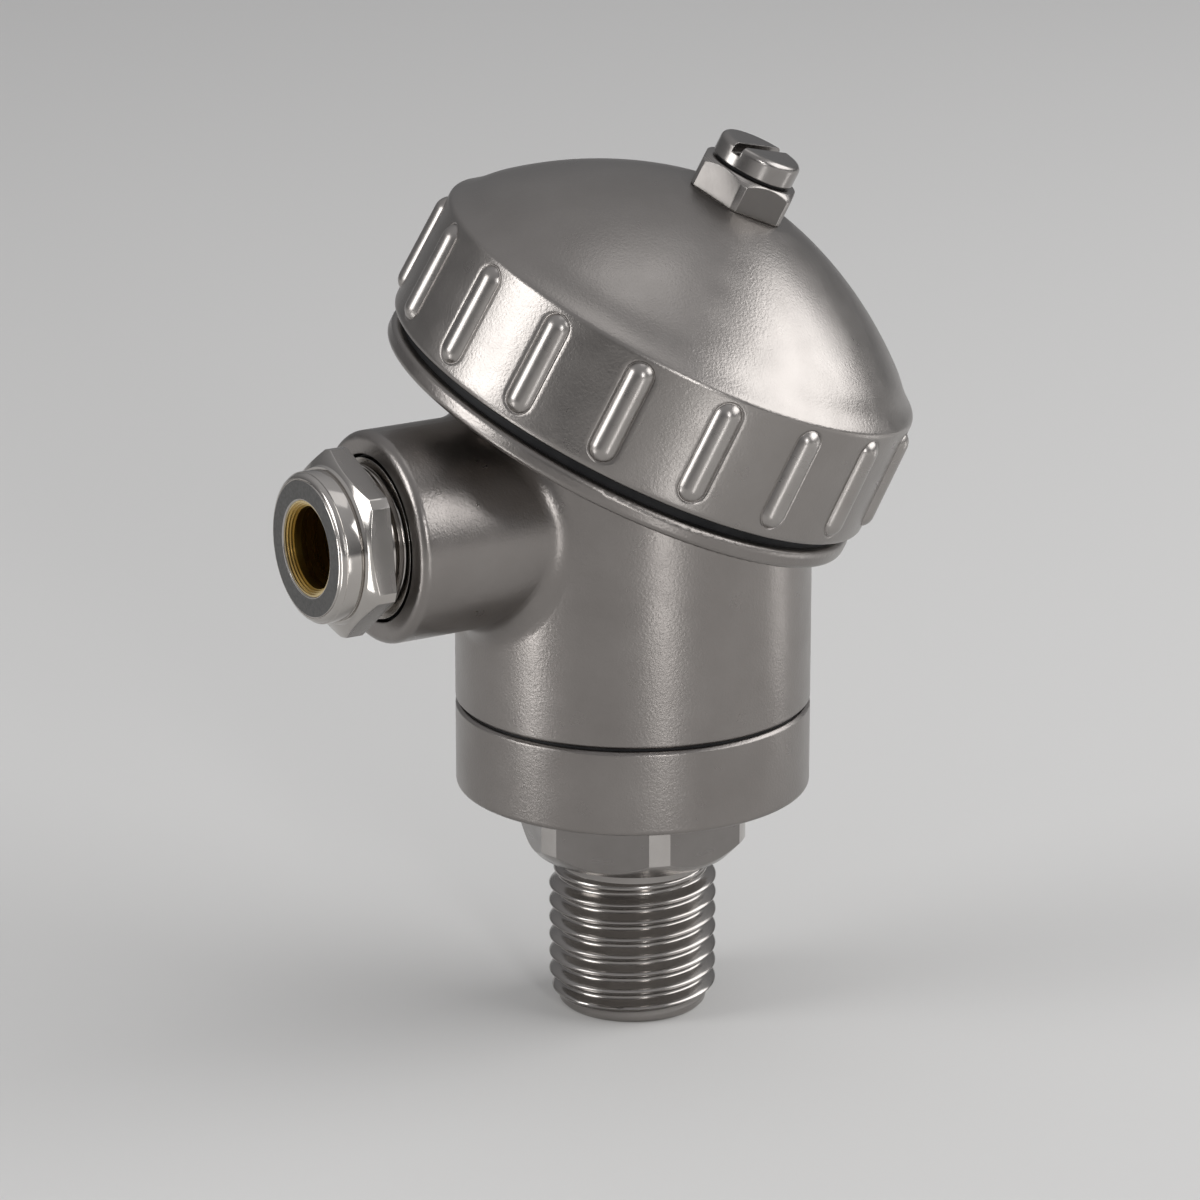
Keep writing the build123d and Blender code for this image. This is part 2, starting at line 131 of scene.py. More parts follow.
# %% Floor
FLOOR_LEVEL = cad_box[0][2]
FLOOR_REACH = 6.0
floor_mesh = bpy.data.meshes.new("floor")
floor_mesh.from_pydata(
    [
        (-FLOOR_REACH, -FLOOR_REACH, FLOOR_LEVEL),
        (FLOOR_REACH, -FLOOR_REACH, FLOOR_LEVEL),
        (FLOOR_REACH, FLOOR_REACH, FLOOR_LEVEL),
        (-FLOOR_REACH, FLOOR_REACH, FLOOR_LEVEL),
    ],
    [],
    [(0, 1, 2, 3)],
)
floor = bpy.data.objects.new("floor", floor_mesh)
bpy.context.scene.collection.objects.link(floor)
floor_paint = bpy.data.materials.new("floor_paint")
floor_paint.use_nodes = True
floor_shader = floor_paint.node_tree.nodes["Principled BSDF"]
floor_shader.inputs["Base Color"].default_value = (0.66, 0.655, 0.645, 1)
floor_shader.inputs["Roughness"].default_value = 0.9
floor_mesh.materials.append(floor_paint)
print("floor at", round(FLOOR_LEVEL, 4), "m")

# %% Surroundings
LOW_GREY = (0.16, 0.16, 0.163, 1)
HIGH_GREY = (0.52, 0.52, 0.53, 1)
world = bpy.data.worlds.new("studio")
bpy.context.scene.world = world
world.use_nodes = True
world_nodes = world.node_tree.nodes
world_links = world.node_tree.links
view_direction = world_nodes.new("ShaderNodeTexCoord")
split_direction = world_nodes.new("ShaderNodeSeparateXYZ")
world_links.new(view_direction.outputs["Generated"], split_direction.inputs[0])
height_ramp = world_nodes.new("ShaderNodeValToRGB")
height_ramp.color_ramp.elements[0].position = 0.0
height_ramp.color_ramp.elements[0].color = LOW_GREY
height_ramp.color_ramp.elements[1].position = 0.9
height_ramp.color_ramp.elements[1].color = HIGH_GREY
world_links.new(split_direction.outputs["Z"], height_ramp.inputs["Fac"])
world_links.new(height_ramp.outputs["Color"], world_nodes["Background"].inputs["Color"])
print("surroundings from", LOW_GREY[:3], "to", HIGH_GREY[:3])

# %% Lamps
HEAD_MIDDLE = Vector((0.003, 0, 0.045))


def soft_box(name, azimuth, distance, bottom, width, height, watts):
    """A soft box that stands at an azimuth round the head and faces its middle.
    Its distance, lower edge, width and height are in metres."""
    lamp = bpy.data.lights.new(name, "AREA")
    lamp.shape = "RECTANGLE"
    lamp.size = width
    lamp.size_y = height
    lamp.energy = watts
    turn = radians(azimuth)
    place = Vector((cos(turn) * distance, sin(turn) * distance, bottom + height / 2))
    stand = bpy.data.objects.new(name, lamp)
    stand.location = place
    stand.rotation_euler = (place - HEAD_MIDDLE).to_track_quat("Z", "Y").to_euler()
    stand.visible_camera = False
    bpy.context.scene.collection.objects.link(stand)
    return stand


soft_box("key_box", 5, 0.80, 0.20, 1.10, 0.56, 6.0)
soft_box("left_box", -158, 0.80, 0.10, 0.36, 0.46, 2.7)
soft_box("front_strip", -68, 0.95, 0.10, 0.10, 0.40, 1.7)
soft_box("top_box", 15, 0.25, 0.85, 0.50, 0.50, 0.5)
low_strips = [
    soft_box("low_strip_left", -149, 0.15, -0.012, 0.022, 0.05, 0.016),
    soft_box("low_strip_front", -69, 0.15, -0.012, 0.022, 0.05, 0.010),
    soft_box("low_strip_right", 14, 0.15, -0.012, 0.018, 0.05, 0.006),
]
print("lamps", [lamp.name for lamp in bpy.data.lights])

# %% [markdown]
# ## Finishes
# A finish is more than a colour. Bead-blasted steel has a fine pebbled grain,
# turned steel has rings from the tool, and every edge is a little rounded, which
# gives it a thin bright line. Each finish below is a set of shader nodes, so it
# stays sharp however close the camera comes.

# %% A bare material


def new_finish(name, colour, metallic, roughness):
    """A material with the object's own metres as texture coordinates."""
    material = bpy.data.materials.new(name)
    material.use_nodes = True
    tree = material.node_tree
    shader = tree.nodes["Principled BSDF"]
    shader.inputs["Base Color"].default_value = (*colour, 1)
    shader.inputs["Metallic"].default_value = metallic
    shader.inputs["Roughness"].default_value = roughness
    place = tree.nodes.new("ShaderNodeTexCoord").outputs["Object"]
    return material, tree, shader, place


print("materials so far:", len(bpy.data.materials))

# %% Drifting colour and gloss


def cloud(tree, place, scale, detail=3.0, rough=0.5):
    """Smooth random values. The scale is in features per metre."""
    noise = tree.nodes.new("ShaderNodeTexNoise")
    noise.inputs["Scale"].default_value = scale
    noise.inputs["Detail"].default_value = detail
    noise.inputs["Roughness"].default_value = rough
    tree.links.new(place, noise.inputs["Vector"])
    return noise.outputs["Fac"]


def spread(tree, value, low, high, start=0.3, end=0.7):
    """Stretches a value from its own range to another."""
    stretch = tree.nodes.new("ShaderNodeMapRange")
    stretch.inputs["From Min"].default_value = start
    stretch.inputs["From Max"].default_value = end
    stretch.inputs["To Min"].default_value = low
    stretch.inputs["To Max"].default_value = high
    tree.links.new(value, stretch.inputs["Value"])
    return stretch.outputs["Result"]


def two_tones(tree, shader, value, dark, light, start=0.3, end=0.7):
    """Lets the colour drift between two tones."""
    ramp = tree.nodes.new("ShaderNodeValToRGB")
    ramp.color_ramp.elements[0].position = start
    ramp.color_ramp.elements[0].color = (*dark, 1)
    ramp.color_ramp.elements[1].position = end
    ramp.color_ramp.elements[1].color = (*light, 1)
    tree.links.new(value, ramp.inputs["Fac"])
    tree.links.new(ramp.outputs["Color"], shader.inputs["Base Color"])


print("noise seldom leaves 0.3 to 0.7, so that range is the one that is stretched")

# %% Soft edges and fine relief


def soft_edges(tree, radius):
    """A surface direction that turns smoothly over an edge."""
    edge = tree.nodes.new("ShaderNodeBevel")
    edge.samples = 6
    edge.inputs["Radius"].default_value = radius
    return edge.outputs["Normal"]


def relief(tree, height, depth, strength, under=None):
    """Fine relief that is too small for the mesh."""
    bump = tree.nodes.new("ShaderNodeBump")
    bump.inputs["Distance"].default_value = depth
    bump.inputs["Strength"].default_value = strength
    tree.links.new(height, bump.inputs["Height"])
    if under is not None:
        tree.links.new(under, bump.inputs["Normal"])
    return bump.outputs["Normal"]


print("relief can lie on soft edges or on other relief")

# %% [markdown]
# ### Bead-blasted steel
# The body, the base ring and the cap were cast, turned and then blasted with
# glass beads. That leaves a satin grain of tiny dimples about a third of a
# millimetre apart. Two sizes of noise make the grain, and a slow drift of tone
# and gloss keeps the large surfaces from looking like plastic.

# %% Bead-blasted steel
SATIN_GLOSS = (0.27, 0.34)
TONES_PER_METRE = 90
PEBBLES_PER_METRE = 2800
PEBBLE_DEPTH = 40 * MICRON
GRAINS_PER_METRE = 5200
GRAIN_DEPTH = 25 * MICRON


def blasted_steel(name, dark, light, edge_radius=None, strength=0.5):
    """Satin steel with a fine grain. The strength is that of the grain."""
    material, tree, shader, place = new_finish(name, light, 1.0, 0.4)
    two_tones(tree, shader, cloud(tree, place, TONES_PER_METRE, 5.0, 0.6), dark, light)
    gloss = spread(tree, cloud(tree, place, 260, 4.0), *SATIN_GLOSS)
    tree.links.new(gloss, shader.inputs["Roughness"])
    start = soft_edges(tree, edge_radius) if edge_radius else None
    pebbles = relief(tree, cloud(tree, place, PEBBLES_PER_METRE, 1.0), PEBBLE_DEPTH, strength, start)
    grains = relief(tree, cloud(tree, place, GRAINS_PER_METRE, 1.0), GRAIN_DEPTH, strength, pebbles)
    tree.links.new(grains, shader.inputs["Normal"])
    return material


body_steel = blasted_steel(
    "blasted_body_steel", (0.25, 0.232, 0.22), (0.285, 0.266, 0.253), edge_radius=0.3 * MM
)
cap_steel = blasted_steel("blasted_cap_steel", (0.275, 0.257, 0.244), (0.31, 0.291, 0.277))
nut_flat_steel = blasted_steel(
    "nut_flat_steel", (0.15, 0.141, 0.134), (0.18, 0.17, 0.162), strength=0.15
)
print("blasted:", body_steel.name, cap_steel.name, nut_flat_steel.name)

# %% [markdown]
# ### Turned steel, nickel and brass
# The process fitting, the cap's nut and the cap's screw came off a lathe. Their
# rings run round the axis, so the noise for them depends only on the distance
# from the axis and along it. Nickel plating is the same with a smoother and
# warmer surface, and bare brass shows in the cable's mouth.

# %% Rings round an axis


def round_and_along(tree, place, axis_name):
    """Distance from an axis and distance along it, for marks left by turning."""
    point, direction = AXES[axis_name]
    shift = tree.nodes.new("ShaderNodeVectorMath")
    shift.operation = "SUBTRACT"
    tree.links.new(place, shift.inputs[0])
    shift.inputs[1].default_value = point
    along = tree.nodes.new("ShaderNodeVectorMath")
    along.operation = "DOT_PRODUCT"
    tree.links.new(shift.outputs[0], along.inputs[0])
    along.inputs[1].default_value = direction
    across = tree.nodes.new("ShaderNodeVectorMath")
    across.operation = "CROSS_PRODUCT"
    tree.links.new(shift.outputs[0], across.inputs[0])
    across.inputs[1].default_value = direction
    reach = tree.nodes.new("ShaderNodeVectorMath")
    reach.operation = "LENGTH"
    tree.links.new(across.outputs[0], reach.inputs[0])
    pair = tree.nodes.new("ShaderNodeCombineXYZ")
    tree.links.new(reach.outputs["Value"], pair.inputs["X"])
    tree.links.new(along.outputs["Value"], pair.inputs["Y"])
    return pair.outputs[0]


print("rings can run round", list(AXES))

# %% Turned metals
RINGS_PER_METRE = 5200
SLOW_RINGS_PER_METRE = 700


def turned_metal(name, axis_name, dark, light, gloss, ring_depth, edge_radius=None):
    """Metal with rings round its axis. The gloss is the least and the most roughness."""
    material, tree, shader, place = new_finish(name, light, 1.0, gloss[0])
    two_tones(tree, shader, cloud(tree, place, 140, 4.0, 0.6), dark, light)
    rings_at = round_and_along(tree, place, axis_name)
    rings = cloud(tree, rings_at, RINGS_PER_METRE, 3.0, 0.6)
    slow_rings = cloud(tree, rings_at, SLOW_RINGS_PER_METRE, 2.0)
    tree.links.new(spread(tree, slow_rings, *gloss), shader.inputs["Roughness"])
    start = soft_edges(tree, edge_radius) if edge_radius else None
    marks = relief(tree, rings, ring_depth, 0.5, start)
    tree.links.new(marks, shader.inputs["Normal"])
    return material


STEEL = (0.31, 0.292, 0.278), (0.37, 0.352, 0.336)
fitting_steel = turned_metal("turned_fitting_steel", "body", *STEEL, (0.17, 0.25), 3 * MICRON)
neck_steel = turned_metal("turned_neck_steel", "cap", *STEEL, (0.2, 0.28), 3 * MICRON)
CORNER_STEEL = (0.48, 0.455, 0.435), (0.56, 0.535, 0.515)
corner_steel = turned_metal("turned_corner_steel", "body", *CORNER_STEEL, (0.15, 0.2), 1 * MICRON)
FLAT_STEEL = (0.235, 0.22, 0.21), (0.27, 0.255, 0.245)
flat_steel = turned_metal("milled_flat_steel", "body", *FLAT_STEEL, (0.26, 0.33), 1 * MICRON)
RIB_STEEL = (0.33, 0.31, 0.295), (0.38, 0.36, 0.344)
rib_steel = turned_metal("smooth_rib_steel", "cap", *RIB_STEEL, (0.26, 0.32), 1 * MICRON)
NUT_STEEL = (0.28, 0.264, 0.252), (0.33, 0.313, 0.3)
cap_nut_steel = turned_metal("turned_nut_steel", "cap", *NUT_STEEL, (0.22, 0.28), 2 * MICRON)
SCREW_STEEL = (0.27, 0.255, 0.244), (0.32, 0.304, 0.292)
cap_screw_steel = turned_metal(
    "turned_screw_steel", "cap", *SCREW_STEEL, (0.2, 0.27), 2 * MICRON, edge_radius=0.2 * MM
)
SMALL_STEEL = (0.50, 0.49, 0.47), (0.58, 0.57, 0.55)
small_screw_steel = turned_metal(
    "small_screw_steel", "cap", *SMALL_STEEL, (0.24, 0.34), 4 * MICRON, edge_radius=0.15 * MM
)
print("turned steels for the body, the cap and the small screws")

# %% Nickel and brass
BRIGHT_NICKEL = (0.46, 0.435, 0.41), (0.53, 0.505, 0.48)
nickel = turned_metal("bright_nickel", "entry", *BRIGHT_NICKEL, (0.1, 0.17), 2 * MICRON)
FLAT_NICKEL = (0.27, 0.255, 0.242), (0.31, 0.294, 0.28)
flat_nickel = turned_metal("drawn_flat_nickel", "entry", *FLAT_NICKEL, (0.22, 0.3), 0.5 * MICRON)
RING_NICKEL = (0.40, 0.375, 0.35), (0.47, 0.445, 0.42)
ring_nickel = turned_metal(
    "ring_nickel", "entry", *RING_NICKEL, (0.16, 0.24), 3 * MICRON, edge_radius=0.1 * MM
)
BAR_BRASS = (0.55, 0.40, 0.17), (0.66, 0.50, 0.24)
bar_brass = turned_metal(
    "bar_brass", "cap", *BAR_BRASS, (0.28, 0.38), 4 * MICRON, edge_radius=0.2 * MM
)
print("nickel for the gland and brass for the terminal bars")

# %% [markdown]
# ### The brass mouth
# The brass sleeve is turned in fine steps at its mouth, where it is pale and bright. Further in it
# is painted a darker, deeper gold, which is painted shade inside the bore, so the tone changes with
# the distance along the entry's axis.

# %% The brass mouth
MOUTH_FROM = 44.3 * MM
MOUTH_TO = 45.0 * MM
brass, tree, shader, place = new_finish("bare_brass", (0.52, 0.37, 0.12), 1.0, 0.28)
brass_rings = round_and_along(tree, place, "entry")
brass_axes = tree.nodes.new("ShaderNodeSeparateXYZ")
tree.links.new(brass_rings, brass_axes.inputs[0])
# Painted shade: deeper into the bore the brass is painted a darker, deeper gold.
mouth_share = spread(tree, brass_axes.outputs["Y"], 0.0, 1.0, MOUTH_FROM, MOUTH_TO)
two_tones(tree, shader, mouth_share, (0.42, 0.29, 0.07), (0.70, 0.56, 0.30), 0.0, 1.0)
brass_gloss = spread(tree, cloud(tree, brass_rings, 900, 3.0), 0.22, 0.34)
tree.links.new(brass_gloss, shader.inputs["Roughness"])
brass_marks = relief(tree, cloud(tree, brass_rings, RINGS_PER_METRE, 3.0), 2 * MICRON, 0.5)
tree.links.new(brass_marks, shader.inputs["Normal"])
print("the brass turns pale at", MOUTH_FROM, "to", MOUTH_TO, "m along the entry")

# %% [markdown]
# ### The gland's dull front
# The front of the gland's nut is not polished. It is a flat grey ring with a fine
# sandy grain, which frames the brass mouth, so it gets a finish of its own.

# %% The gland's dull front
dull_front, tree, shader, place = new_finish("dull_gland_front", (0.17, 0.167, 0.164), 0.85, 0.5)
sand = cloud(tree, place, 2600, 4.0, 0.6)
two_tones(tree, shader, sand, (0.09, 0.089, 0.087), (0.135, 0.133, 0.13))
dull_gloss = spread(tree, cloud(tree, place, 900, 3.0), 0.46, 0.56)
tree.links.new(dull_gloss, shader.inputs["Roughness"])
sand_relief = relief(tree, cloud(tree, place, 4200, 3.0), 20 * MICRON, 0.5)
tree.links.new(sand_relief, shader.inputs["Normal"])
print("finish", dull_front.name)

# %% [markdown]
# ### Rubber and ceramic
# The seals are black rubber, which is dull with a faint moulded grain. The
# terminal block is glazed ceramic, off-white, with a thin gloss over a slightly
# uneven surface.

# %% Rubber and ceramic
rubber, tree, shader, place = new_finish("black_seal_rubber", (0.016, 0.016, 0.017), 0.0, 0.6)
two_tones(tree, shader, cloud(tree, place, 400, 3.0), (0.008, 0.008, 0.009), (0.016, 0.016, 0.017))
shader.inputs["Specular IOR Level"].default_value = 0.25
moulded_grain = relief(tree, cloud(tree, place, 2500), 30 * MICRON, 0.4)
tree.links.new(moulded_grain, shader.inputs["Normal"])

ceramic, tree, shader, place = new_finish("glazed_ceramic", (0.80, 0.77, 0.71), 0.0, 0.28)
two_tones(tree, shader, cloud(tree, place, 220, 4.0), (0.76, 0.73, 0.67), (0.83, 0.81, 0.76))
shader.inputs["Coat Weight"].default_value = 0.6
shader.inputs["Coat Roughness"].default_value = 0.12
glaze = relief(tree, cloud(tree, place, 700, 2.0), 50 * MICRON, 0.3, soft_edges(tree, 0.4 * MM))
tree.links.new(glaze, shader.inputs["Normal"])
print("finishes", rubber.name, ceramic.name)

# %% [markdown]
# ## Turned pieces made row by row
# A lathe piece is one outline carried round an axis. Here it is built as rows of
# points, from one end of the outline to the other, and each row may be a plain
# ring or a shape that depends on the angle, such as a hexagon. A screw thread
# fits the same idea: its rows climb by one pitch in a turn, so each row joins
# the start of a later one.

# %% Points round an axis


def point_round(axis_name, radius, along, angle):
    """A point in metres from a radius and a distance along an axis in millimetres."""
    point, direction = AXES[axis_name]
    side = FIRST_SIDE[axis_name]
    other = direction.cross(side)
    outward = side * cos(angle) + other * sin(angle)
    return point + (direction * along + outward * radius) * MM


def ring_points(mesh_maker, axis_name, row, angles):
    """One row of points. The row is a pair, or a function of the angle that gives one."""
    points = []
    for angle in angles:
        radius, along = row(angle) if callable(row) else row
        points.append(mesh_maker.verts.new(point_round(axis_name, radius, along, angle)))
    return points


def join_rings(mesh_maker, lower, upper):
    """Faces between two rows that close on themselves."""
    count = len(lower)
    for k in range(count):
        after = (k + 1) % count
        mesh_maker.faces.new((lower[k], lower[after], upper[after], upper[k]))


def even_angles(count, extra=()):
    """Angles all round, with a few more where a corner has to be met."""
    turn = [2 * pi * k / count for k in range(count)]
    return sorted(turn + [angle % (2 * pi) for angle in extra])


print("10 mm up the cap's axis is", [round(v, 4) for v in point_round("cap", 0, 10, 0)])

# %% From points to a piece


def add_piece(name, mesh_maker, body, finishes, sharp_angle=32.0):
    """Closes a mesh, shades it and lets it ride on its body."""
    bmesh.ops.remove_doubles(mesh_maker, verts=mesh_maker.verts, dist=1e-7)
    bmesh.ops.dissolve_degenerate(mesh_maker, edges=mesh_maker.edges, dist=1e-8)
    bmesh.ops.recalc_face_normals(mesh_maker, faces=mesh_maker.faces)
    mesh = bpy.data.meshes.new(name)
    mesh_maker.to_mesh(mesh)
    mesh_maker.free()
    mesh.shade_smooth()
    mesh.set_sharp_from_angle(angle=radians(sharp_angle))
    for finish in finishes:
        mesh.materials.append(finish)
    piece = bpy.data.objects.new(name, mesh)
    bpy.context.scene.collection.objects.link(piece)
    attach(piece, body)
    print(name, len(mesh.polygons), "faces")
    return piece


print("pieces so far:", len(nodes), "solids")

# %% [markdown]
# ## Process fitting with its real thread
# The fitting screws the head into a thermowell. It has a seven-turn right-hand
# thread with a pitch of 2.28 mm, a relief above it and a hexagon with turned
# corners. The solid has closed rings in place of the thread, so the whole
# fitting is made again here with a true helix, faded out at both ends as a die
# leaves it.

# %% The thread's shape
THREAD_ROOT = 9.2
THREAD_CREST = 10.48
THREAD_PITCH = 2.28
THREAD_START = 0.41
THREAD_LOW = -15.4
THREAD_HIGH = 2.3
CREST_HALF_WIDTH = 0.14
FLANK_WIDTH = 0.8
ROUNDING = (-0.12, -0.06, 0.0, 0.06, 0.12)
FADE_IN = 1.6
FADE_OUT = 1.5
ROWS_IN_A_TURN = 20


def clamp(value):
    """Keeps a value between 0 and 1."""
    return min(1.0, max(0.0, value))


def ridge(offset):
    """Height of the ridge, 0 to 1, at a distance in millimetres from its crest.
    It is the mean of shifted straight flanks, which rounds the crest and the root."""
    total = 0.0
    for shift in ROUNDING:
        reach = abs(offset + shift)
        total += clamp(1.0 - (reach - CREST_HALF_WIDTH) / FLANK_WIDTH)
    return total / len(ROUNDING)


def thread_radius(along, angle):
    """Radius of the threaded surface."""
    turns = (along - THREAD_START) / THREAD_PITCH - angle / (2 * pi)
    offset = (turns - round(turns)) * THREAD_PITCH
    fade = clamp((along - THREAD_LOW) / FADE_IN) * clamp((THREAD_HIGH - along) / FADE_OUT)
    return THREAD_ROOT + (THREAD_CREST - THREAD_ROOT) * ridge(offset) * fade


print("fitting's thread", 2 * THREAD_CREST, "mm over its crests")


# %% Thread rows


def threaded_band(mesh_maker, axis_name, angles, low, high, pitch, radius_at, rows_in_a_turn):
    """Rows that climb with the helix between two levels. Gives the first and last ring."""
    step = pitch / rows_in_a_turn
    row_count = int((high - low) / step) + 1 + rows_in_a_turn
    rows = []
    for row_number in range(-rows_in_a_turn, row_count):
        row = []
        for angle in angles:
            along = low + row_number * step + pitch * angle / (2 * pi)
            along = min(high, max(low, along))
            point = point_round(axis_name, radius_at(along, angle), along, angle)
            row.append(mesh_maker.verts.new(point))
        rows.append(row)
    last = len(angles) - 1
    for number, (row, above) in enumerate(zip(rows, rows[1:])):
        for k in range(last):
            mesh_maker.faces.new((row[k], row[k + 1], above[k + 1], above[k]))
        turn_later = number + rows_in_a_turn
        if turn_later + 1 < len(rows):
            corners = row[last], rows[turn_later][0], rows[turn_later + 1][0], above[last]
            mesh_maker.faces.new(corners)
    return rows[0], rows[-1]


print("each row climbs", round(THREAD_PITCH / ROWS_IN_A_TURN, 3), "mm")

# %% The fitting's hexagon
FITTING_CORNER = radians(-13.2)
FITTING_FLATS = 26.0
FITTING_ROUND = 14.3
HEX_FOOT = 4.24
RING_FOOT = 13.04
SPIGOT_TOP = 29.54
NOSE_END = -16.17


def hexagon_radius(flats, turned_radius, corner_angle):
    """Radius of a hexagon whose corners were turned down to a round."""

    def radius_at(angle):
        from_corner = (angle - corner_angle + pi / 6) % (pi / 3) - pi / 6
        return min(flats / 2 / cos(pi / 6 - abs(from_corner)), turned_radius)

    return radius_at


def corner_angles(flats, turned_radius, corner_angle):
    """The angles at which the flats meet the turned corners."""
    half_width = pi / 6 - acos(flats / 2 / turned_radius)
    corners = [corner_angle + k * pi / 3 for k in range(6)]
    return [corner + side for corner in corners for side in (-half_width, half_width)]


fitting_radius = hexagon_radius(FITTING_FLATS, FITTING_ROUND, FITTING_CORNER)
fitting_angles = even_angles(180, corner_angles(FITTING_FLATS, FITTING_ROUND, FITTING_CORNER))
print("hexagon", FITTING_FLATS, "mm over its flats,", 2 * FITTING_ROUND, "mm over its corners")

# %% Finishes of flats and corners
NEAR_FLATS = 0.3
UPRIGHT_MOST = 0.2
TURNED_LEAST = 0.9995
CORNER_SHARE = 1.09


def finish_flats(mesh_maker, axis_name, low, high, flats, flat_finish, corner_finish=None):
    """Gives the flats between two levels one finish, and the turned corners another."""
    point, direction = AXES[axis_name]
    for face in mesh_maker.faces:
        middle = face.calc_center_median() - point
        along = middle.dot(direction) / MM
        outward = middle - direction * middle.dot(direction)
        reach = outward.length / MM
        upright = abs(face.normal.dot(direction)) < UPRIGHT_MOST
        if low < along < high and upright and reach > flats / 2 - NEAR_FLATS:
            faces_out = face.normal.dot(outward.normalized()) > TURNED_LEAST
            turned = faces_out and reach > flats / 2 * CORNER_SHARE
            if not turned:
                face.material_index = flat_finish
            elif corner_finish is not None:
                face.material_index = corner_finish


print("a corner counts as turned from", round(FITTING_FLATS / 2 * CORNER_SHARE, 2), "mm out")

# %% The fitting
CHAMFER_START = 12.3
SPIGOT_RADIUS = 9.0
PROBE_BORE = 4.5
EASED = 0.3
fitting_mesh = bmesh.new()
thread_span = THREAD_LOW, THREAD_HIGH, THREAD_PITCH
first_ring, last_ring = threaded_band(
    fitting_mesh, "body", fitting_angles, *thread_span, thread_radius, ROWS_IN_A_TURN
)


def chamfer_level(radius):
    """Level of the hexagon's lower chamfer, which rises as fast as it widens."""
    return HEX_FOOT + radius - CHAMFER_START


upper_rows = [
    (THREAD_ROOT, HEX_FOOT - 0.25),
    (THREAD_ROOT + 0.07, HEX_FOOT - 0.07),
    (THREAD_ROOT + 0.25, HEX_FOOT),
    (CHAMFER_START, HEX_FOOT),
    (CHAMFER_START + 0.15, HEX_FOOT + 0.08),
    lambda angle: (fitting_radius(angle) - 0.1, chamfer_level(fitting_radius(angle)) - 0.1),
    lambda angle: (fitting_radius(angle), chamfer_level(fitting_radius(angle)) + 0.06),
    lambda angle: (fitting_radius(angle), RING_FOOT - 0.1),
    lambda angle: (fitting_radius(angle) - 0.1, RING_FOOT),
    (SPIGOT_RADIUS, RING_FOOT),
    (SPIGOT_RADIUS, SPIGOT_TOP - EASED),
    (SPIGOT_RADIUS - EASED, SPIGOT_TOP),
    (PROBE_BORE + EASED, SPIGOT_TOP),
    (PROBE_BORE, SPIGOT_TOP - EASED),
    (PROBE_BORE, NOSE_END + EASED),
    (PROBE_BORE + EASED, NOSE_END),
    (THREAD_ROOT - 0.55, NOSE_END),
    (THREAD_ROOT - 0.4, NOSE_END + 0.03),
    (THREAD_ROOT - 0.03, NOSE_END + 0.4),
    (THREAD_ROOT, NOSE_END + 0.47),
]
rings = [ring_points(fitting_mesh, "body", row, fitting_angles) for row in upper_rows]
rings = [last_ring, *rings, first_ring]
for lower, upper in zip(rings, rings[1:]):
    join_rings(fitting_mesh, lower, upper)
bmesh.ops.recalc_face_normals(fitting_mesh, faces=fitting_mesh.faces)
finish_flats(fitting_mesh, "body", HEX_FOOT, RING_FOOT, FITTING_FLATS, 1, 2)
threaded_fitting = add_piece(
    "process_fitting_with_thread",
    fitting_mesh,
    "head",
    [fitting_steel, flat_steel, corner_steel],
    24.0,
)
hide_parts("process_fitting")

# %% [markdown]
# ## Screw cap with its seventeen ribs
# The cap is one casting. Half-round ribs stand on its wall as a grip for the
# hand, and each one has a fine line round its foot, where the blasting stopped.
# The wall is made of seventeen equal cells. In each cell the points lie on rings
# round one rib, so the rib's rounded ends and the line round it stay crisp, and
# the outermost ring is the cell's own square edge, where it meets its
# neighbours, the crown above and the foot below.

# %% The cap's outline
RIB_COUNT = 17
RIB_FIRST = radians(180.2)
WALL_FOOT_RADIUS = 31.75
WALL_TOP_RADIUS = 31.3
CAP_FOOT = -1.3
CELL_LOW = -0.6
CELL_HIGH = 13.3
CROWN_RADIUS = 51.1
CROWN_OFFSET = 6.3
CROWN_CENTRE = -21.04
CAP_SKIN = 2.4
SPOT_RADIUS = 7.3
NUT_HOLE_RADIUS = 4.35
CAP_BORE = 27.9


def wall_radius(along):
    """The cap's wall leans in a little towards the top."""
    share = (along - CAP_FOOT) / (CELL_HIGH + 0.3 - CAP_FOOT)
    return WALL_FOOT_RADIUS + (WALL_TOP_RADIUS - WALL_FOOT_RADIUS) * share


def crown_level(arc_radius, radius):
    """Height of the crown's arc at a radius."""
    return CROWN_CENTRE + sqrt(arc_radius**2 - (radius + CROWN_OFFSET) ** 2)


print("crown", round(crown_level(CROWN_RADIUS, SPOT_RADIUS), 2), "mm high at the nut")

# %% The rib's shape
RIB_HALF_WIDTH = 1.6
RIB_STAND_OUT = 0.85
RIB_ARC = (RIB_HALF_WIDTH**2 + RIB_STAND_OUT**2) / (2 * RIB_STAND_OUT)
RIB_CORE_LOW = 1.75
RIB_CORE_HIGH = 11.3
RIB_RINGS = (0.0, 0.35, 0.7, 1.0, 1.2, 1.36, 1.48, 1.56, RIB_HALF_WIDTH)
GROOVE_RINGS = ((1.65, -0.07), (1.7, -0.11), (1.77, -0.11), (1.86, -0.04), (1.95, 0.0))
FADE_RINGS = 5
FADE_SPACING = 1.3
SIDE_STEPS = 10
END_STEPS = 12


def rib_height(distance):
    """How far the rib stands out of the wall, at a distance from its middle line."""
    return sqrt(max(0.0, RIB_ARC**2 - distance**2)) - (RIB_ARC - RIB_STAND_OUT)


print("the rib is part of a round bar", round(2 * RIB_ARC, 2), "mm thick")

# %% The edge of a rib's cell


